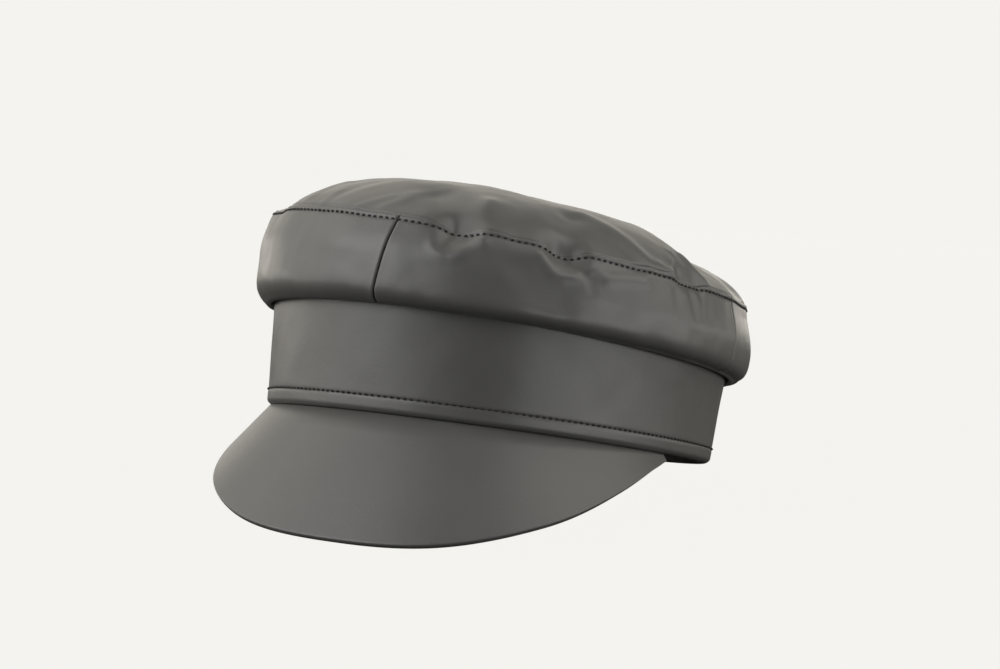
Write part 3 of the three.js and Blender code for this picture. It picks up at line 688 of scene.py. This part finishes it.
def along(points, pitch):
    """Places a pitch apart along a line of points, with its direction there and the share of its length."""
    near = 0.3  # either way, over which the direction is measured
    points = np.concatenate([points, points[:1]])
    step = np.linalg.norm(np.diff(points, axis=0), axis=1)
    run = np.concatenate([[0], np.cumsum(step)])
    count = int(run[-1] / pitch)
    at = (np.arange(count) + 0.5) * run[-1] / count
    spots = np.stack([np.interp(at, run, points[:, k]) for k in range(3)], -1)
    ahead = np.stack([np.interp(at + near, run, points[:, k]) for k in range(3)], -1)
    back = np.stack([np.interp(at - near, run, points[:, k]) for k in range(3)], -1)
    return spots, unit(ahead - back), at / run[-1]


def stitches(name, points, facings):
    """A row of stitches round the cap as one mesh: short arched threads whose ends dip into the leather."""
    rings, around = 7, 8
    seed = 5
    end_thickness = 0.05  # square of the share of its radius that a thread keeps at its ends
    spots, heading, share = along(points, STITCH_PITCH)
    ring = np.linspace(0, 1, len(facings))
    up = unit(np.stack([np.interp(share, ring, facings[:, k]) for k in range(3)], -1))
    side = unit(np.cross(heading, up))
    up = unit(np.cross(side, heading))
    rng = np.random.default_rng(seed)
    s = np.linspace(-1, 1, rings)
    thick = THREAD_RADIUS * np.sqrt(np.clip(1 - np.abs(s) ** 4, end_thickness, 1))
    arch = THREAD_RADIUS * (STITCH_ARCH - STITCH_DIP * np.abs(s) ** 3)
    turn = np.arange(around) * 2 * math.pi / around
    length = STITCH_LENGTH / 2 * rng.uniform(STITCH_SHORTEST, STITCH_LONGEST, len(spots))
    lean = rng.uniform(-STITCH_LEAN, STITCH_LEAN, len(spots))
    centre = (spots[:, None] + (heading * length[:, None])[:, None] * s[None, :, None]
              + (side * (lean * STITCH_LENGTH)[:, None])[:, None] * s[None, :, None]
              + up[:, None] * arch[None, :, None])
    points = (centre[:, :, None] + side[:, None, None] * (thick[:, None] * np.cos(turn))[None, ..., None]
              + up[:, None, None] * (thick[:, None] * np.sin(turn))[None, ..., None])
    faces = []
    each = rings * around
    for n in range(len(spots)):
        base = n * each
        for i in range(rings - 1):
            for j in range(around):
                k = (j + 1) % around
                faces.append((base + i * around + j, base + i * around + k,
                              base + (i + 1) * around + k, base + (i + 1) * around + j))
        faces.append(tuple(base + j for j in range(around))[::-1])
        faces.append(tuple(base + (rings - 1) * around + j for j in range(around)))
    obj = mesh_object(name, points.reshape(-1, 3), faces)
    return obj


def crown_stitches():
    angle = np.linspace(-180, 180, LINE_STEPS, endpoint=False)
    reach = SEAM + STITCH_DROP / side_length_at(angle)
    point, facing = crown_surface(angle, reach)
    height = welt_relief(np.full_like(angle, STITCH_DROP)) + unevenness(angle, reach) + STITCH_LIFT
    return stitches("crown_seam_stitches", point + facing * height[:, None], facing)


def band_stitches():
    angle = np.linspace(-180, 180, LINE_STEPS, endpoint=False)
    half_width, half_length = band_size(HEM_HEIGHT)
    out = outward(angle)
    broad_wave = band_waviness(angle, HEM_HEIGHT, BAND_WAVES[:1])
    height = hem_relief(np.full_like(angle, HEM_HEIGHT)) + broad_wave + STITCH_LIFT
    point = oval(angle, half_width, half_length, HEM_HEIGHT) + out * height[:, None]
    return stitches("band_hem_stitches", point, out)


# Materials

LEATHER_COLOUR = (0.08, 0.079, 0.075)
LEATHER_ROUGHNESS = 0.42
PEAK_GRAIN = 0.8  # the leather is stretched over the board, so its grain is shallower
THREAD_COLOUR = (0.014, 0.014, 0.013)
PAPER_TINT = (1.0, 0.99, 0.955)
GLOW_COLOUR = (1.0, 0.99, 0.953, 1)


def node_maker(material):
    """A function that adds a node to the material: values go to its sockets, settings to the node itself."""
    tree = material.node_tree
    tree.nodes.clear()

    def node(kind, values=(), **settings):
        made = tree.nodes.new(kind)
        for key, value in settings.items():
            setattr(made, key, value)
        for socket, value in dict(values).items():
            if isinstance(value, bpy.types.NodeSocket):
                tree.links.new(value, made.inputs[socket])
            else:
                made.inputs[socket].default_value = value
        return made

    return node


def leather(name, grain=1.0):
    """Smooth finished leather: a fine pebbled grain, slight mottling and a satin finish."""
    material = bpy.data.materials.new(name)
    material.use_nodes = True
    node = node_maker(material)
    where = node("ShaderNodeTexCoord").outputs["Object"]
    pebbles = node("ShaderNodeTexVoronoi", {"Vector": where, "Scale": 1100, "Randomness": 1.0},
                   feature="SMOOTH_F1")
    pores = node("ShaderNodeTexNoise", {"Vector": where, "Scale": 2600, "Detail": 3, "Roughness": 0.6})
    slack = node("ShaderNodeTexNoise", {"Vector": where, "Scale": 95, "Detail": 4, "Roughness": 0.55})
    clouds = node("ShaderNodeTexNoise", {"Vector": where, "Scale": 26, "Detail": 5, "Roughness": 0.6})
    fine = node("ShaderNodeMath", {0: pebbles.outputs["Distance"], 1: pores.outputs["Fac"]}, operation="ADD")
    grain_bump = node("ShaderNodeBump", {"Height": fine.outputs[0], "Strength": 0.10 * grain,
                                         "Distance": 0.00022})
    soft_bump = node("ShaderNodeBump", {"Height": slack.outputs["Fac"], "Strength": 0.10, "Distance": 0.0012,
                                        "Normal": grain_bump.outputs["Normal"]})
    tone = node("ShaderNodeMapRange", {"Value": clouds.outputs["Fac"], "From Min": 0.3, "From Max": 0.7,
                                       "To Min": 0.94, "To Max": 1.06})
    paint = node("ShaderNodeMix", {"Factor": 1.0, "A": (*LEATHER_COLOUR, 1), "B": tone.outputs["Result"]},
                 data_type="RGBA", blend_type="MULTIPLY")
    gloss = node("ShaderNodeMapRange", {"Value": clouds.outputs["Fac"], "From Min": 0.3, "From Max": 0.7,
                                        "To Min": LEATHER_ROUGHNESS - 0.03,
                                        "To Max": LEATHER_ROUGHNESS + 0.04})
    shader = node("ShaderNodeBsdfPrincipled", {
        "Base Color": paint.outputs["Result"],
        "Roughness": gloss.outputs["Result"],
        "Normal": soft_bump.outputs["Normal"],
        "Specular IOR Level": 0.5,
    })
    node("ShaderNodeOutputMaterial", {"Surface": shader.outputs["BSDF"]})
    return material


def thread():
    material = bpy.data.materials.new("dark_thread")
    material.use_nodes = True
    node = node_maker(material)
    where = node("ShaderNodeTexCoord").outputs["Object"]
    fibres = node("ShaderNodeTexNoise", {"Vector": where, "Scale": 5000, "Detail": 2})
    relief = node("ShaderNodeBump", {"Height": fibres.outputs["Fac"], "Strength": 0.3, "Distance": 0.0001})
    tone = node("ShaderNodeMapRange", {"Value": fibres.outputs["Fac"], "To Min": 0.7, "To Max": 1.3})
    paint = node("ShaderNodeMix", {"Factor": 1.0, "A": (*THREAD_COLOUR, 1), "B": tone.outputs["Result"]},
                 data_type="RGBA", blend_type="MULTIPLY")
    shader = node("ShaderNodeBsdfPrincipled", {"Base Color": paint.outputs["Result"], "Roughness": 0.7,
                                               "Normal": relief.outputs["Normal"]})
    node("ShaderNodeOutputMaterial", {"Surface": shader.outputs["BSDF"]})
    return material


# Camera, light and stage

PHOTO_SIZE = (1000, 669)
PHOTO_MIDDLE = (504, 336.9)  # pixel that the camera points at
CAMERA_AIM = (0, 0, 40)
CAMERA_DISTANCE = 945
CAMERA_AZIMUTH = 23.5  # round the cap's own axis
# The camera is a little below the plane of the cap's rim, yet above the floor, because the cap leans back
CAMERA_ELEVATION = -4.1
CAMERA_ROLL = 7.5
FOCAL_PIXELS = 2334


def camera():
    azimuth, elevation, roll = (math.radians(v) for v in (CAMERA_AZIMUTH, CAMERA_ELEVATION, CAMERA_ROLL))
    back = Vector((math.sin(azimuth) * math.cos(elevation), -math.cos(azimuth) * math.cos(elevation),
                   math.sin(elevation)))
    level = Vector((math.cos(azimuth), math.sin(azimuth), 0))
    up = back.cross(level)
    across = level * math.cos(roll) + up * math.sin(roll)
    top = back.cross(across)
    turn = cap_turn @ Matrix((across, top, back)).transposed()
    data = bpy.data.cameras.new("camera")
    data.sensor_width = 36
    data.lens = FOCAL_PIXELS / PHOTO_SIZE[0] * data.sensor_width
    data.shift_x = (PHOTO_SIZE[0] / 2 - PHOTO_MIDDLE[0]) / PHOTO_SIZE[0]
    data.shift_y = (PHOTO_MIDDLE[1] - PHOTO_SIZE[1] / 2) / PHOTO_SIZE[0]
    data.clip_start = 0.01
    data.clip_end = 50
    obj = bpy.data.objects.new("camera", data)
    bpy.context.scene.collection.objects.link(obj)
    aim = Vector(place(CAMERA_AIM))
    obj.matrix_world = Matrix.Translation(aim + cap_turn @ back * CAMERA_DISTANCE * MM) @ turn.to_4x4()
    bpy.context.scene.camera = obj
    return obj


LIGHT_TARGET = Vector((0, 0, 0.06))  # in metres, as the distance is
LIGHT_DISTANCE = 1.6
WARM = (1.0, 0.945, 0.85)
NEUTRAL = (1.0, 1.0, 1.0)
# Softboxes stand round the cap in four rings: elevation in degrees, width and height in metres
RINGS = ((1, 0.95, 0.1), (13, 0.93, 0.35), (33, 0.81, 0.7), (58, 0.55, 0.7))
# Azimuth in degrees, and the power in watts of the softbox there on each ring
SOFTBOXES = [
    (-141.5, (1.0, 1.5, 1.7, 1.1), WARM),
    (-111.5, (1.7, 1.1, 1.5, 1.3), WARM),
    (-81.5, (1.5, 1.5, 3.1, 0.9), WARM),
    (-51.5, (1.4, 2.8, 6.7, 1.1), NEUTRAL),
    (-21.5, (1.0, 2.4, 7.3, 1.2), NEUTRAL),
    (68.5, (4.2, 0.3, 0, 0.9), NEUTRAL),
    (98.5, (3.8, 1.5, 3.2, 2.1), NEUTRAL),
    (128.5, (1.6, 1.0, 3.5, 2.5), WARM),
    (158.5, (0.5, 0, 0, 0), WARM),
    (188.5, (2.8, 1.8, 1.2, 0), WARM),
]
ROOM_LIGHT = 0.003


def softbox(name, azimuth, elevation, width, height, power, colour):
    a, e = math.radians(azimuth), math.radians(elevation)
    away = Vector((math.sin(a) * math.cos(e), -math.cos(a) * math.cos(e), math.sin(e)))
    data = bpy.data.lights.new(name, "AREA")
    data.shape = "RECTANGLE"
    data.size = width
    data.size_y = height
    data.energy = power
    data.color = colour
    obj = bpy.data.objects.new(name, data)
    obj.location = LIGHT_TARGET + away * LIGHT_DISTANCE
    obj.rotation_mode = "QUATERNION"
    obj.rotation_quaternion = (-away).to_track_quat("-Z", "Y")
    obj.visible_camera = False
    bpy.context.scene.collection.objects.link(obj)
    return obj


def turned(name, profile, around):
    """A surface turned round the upright axis through the origin, from points of (radius, height)."""
    vertices = [(r * math.sin(t), r * math.cos(t), z) for r, z in profile
                for t in (2 * math.pi * k / around for k in range(around))]
    faces = [(i * around + k, i * around + (k + 1) % around, (i + 1) * around + (k + 1) % around,
              (i + 1) * around + k) for i in range(len(profile) - 1) for k in range(around)]
    mesh = bpy.data.meshes.new(name)
    mesh.from_pydata(vertices, [], faces)
    mesh.shade_smooth()
    obj = bpy.data.objects.new(name, mesh)
    bpy.context.scene.collection.objects.link(obj)
    return obj


def paper(name, albedo, glow_near, glow_far):
    """Matt paper with the given albedo and its own glow, near the cap and far from it."""
    material = bpy.data.materials.new(name)
    material.use_nodes = True
    node = node_maker(material)
    where = node("ShaderNodeTexCoord").outputs["Object"]
    away = node("ShaderNodeVectorMath", {0: where}, operation="LENGTH")
    glow = node("ShaderNodeMapRange", {"Value": away.outputs["Value"], "From Min": 0.15, "From Max": 2.4,
                                       "To Min": glow_near, "To Max": glow_far},
                interpolation_type="SMOOTHSTEP")
    fibre = node("ShaderNodeTexNoise", {"Vector": where, "Scale": 300, "Detail": 3})
    relief = node("ShaderNodeBump", {"Height": fibre.outputs["Fac"], "Strength": 0.05, "Distance": 0.0003})
    shader = node("ShaderNodeBsdfPrincipled", {
        "Base Color": (*(albedo * share for share in PAPER_TINT), 1),
        "Roughness": 0.9,
        "Specular IOR Level": 0.0,
        "Emission Color": GLOW_COLOUR,
        "Emission Strength": glow.outputs["Result"],
        "Normal": relief.outputs["Normal"],
    })
    node("ShaderNodeOutputMaterial", {"Surface": shader.outputs["BSDF"]})
    return material


def stage():
    """A glowing sweep all round, which is only looked at, and a floor that throws light back on the cap."""
    flat, bend, tall = 2.6, 1.2, 4.0  # metres
    bend_steps = 16
    profile = [(0, 0), (0.5, 0), (1.5, 0), (flat, 0)]
    for i in range(1, bend_steps + 1):
        turn = i / bend_steps * math.pi / 2
        profile.append((flat + bend * math.sin(turn), bend * (1 - math.cos(turn))))
    profile.append((flat + bend, tall))
    sweep = turned("paper_sweep", profile, 96)
    sweep.data.materials.append(paper("lit_paper", albedo=0.002, glow_near=0.903, glow_far=0.905))
    for kind in ("diffuse", "glossy", "transmission", "shadow"):
        setattr(sweep, "visible_" + kind, False)
    under = -0.0005  # just below the sweep, so that the two never lie in one plane
    floor = turned("bounce_floor", [(0, under), (1, under), (3, under)], 48)
    floor.data.materials.append(paper("plain_paper", albedo=0.08, glow_near=0, glow_far=0))
    floor.visible_camera = False


def surroundings():
    """The dim room that the leather reflects."""
    world = bpy.data.worlds.new("room")
    bpy.context.scene.world = world
    world.use_nodes = True
    background = world.node_tree.nodes["Background"]
    background.inputs["Color"].default_value = (1, 0.99, 0.97, 1)
    background.inputs["Strength"].default_value = ROOM_LIGHT


camera()
stage()
surroundings()
for azimuth, powers, colour in SOFTBOXES:
    for (elevation, width, height), power in zip(RINGS, powers):
        if power:
            softbox(f"softbox_{azimuth:.0f}_{elevation}", azimuth, elevation, width, height, power, colour)

crown_material = leather("crown_leather")
band_material = leather("band_leather")
peak_material = leather("peak_leather", grain=PEAK_GRAIN)
thread_material = thread()

soft_parts = [
    crown_top(),
    crown_side("crown_front_left", "crown_side_front_left", 0),
    crown_side("crown_back_left", "crown_side_back_left", QUARTER),
    crown_side("crown_back_right", "crown_side_back_right", -2 * QUARTER),
    crown_side("crown_front_right", "crown_side_front_right", -QUARTER),
]
for part in soft_parts:
    part.data.materials.append(crown_material)
band().data.materials.append(band_material)
peak().data.materials.append(peak_material)
for part in (crown_stitches(), band_stitches()):
    part.data.materials.append(thread_material)

bpy.context.scene.view_settings.view_transform = "Standard"
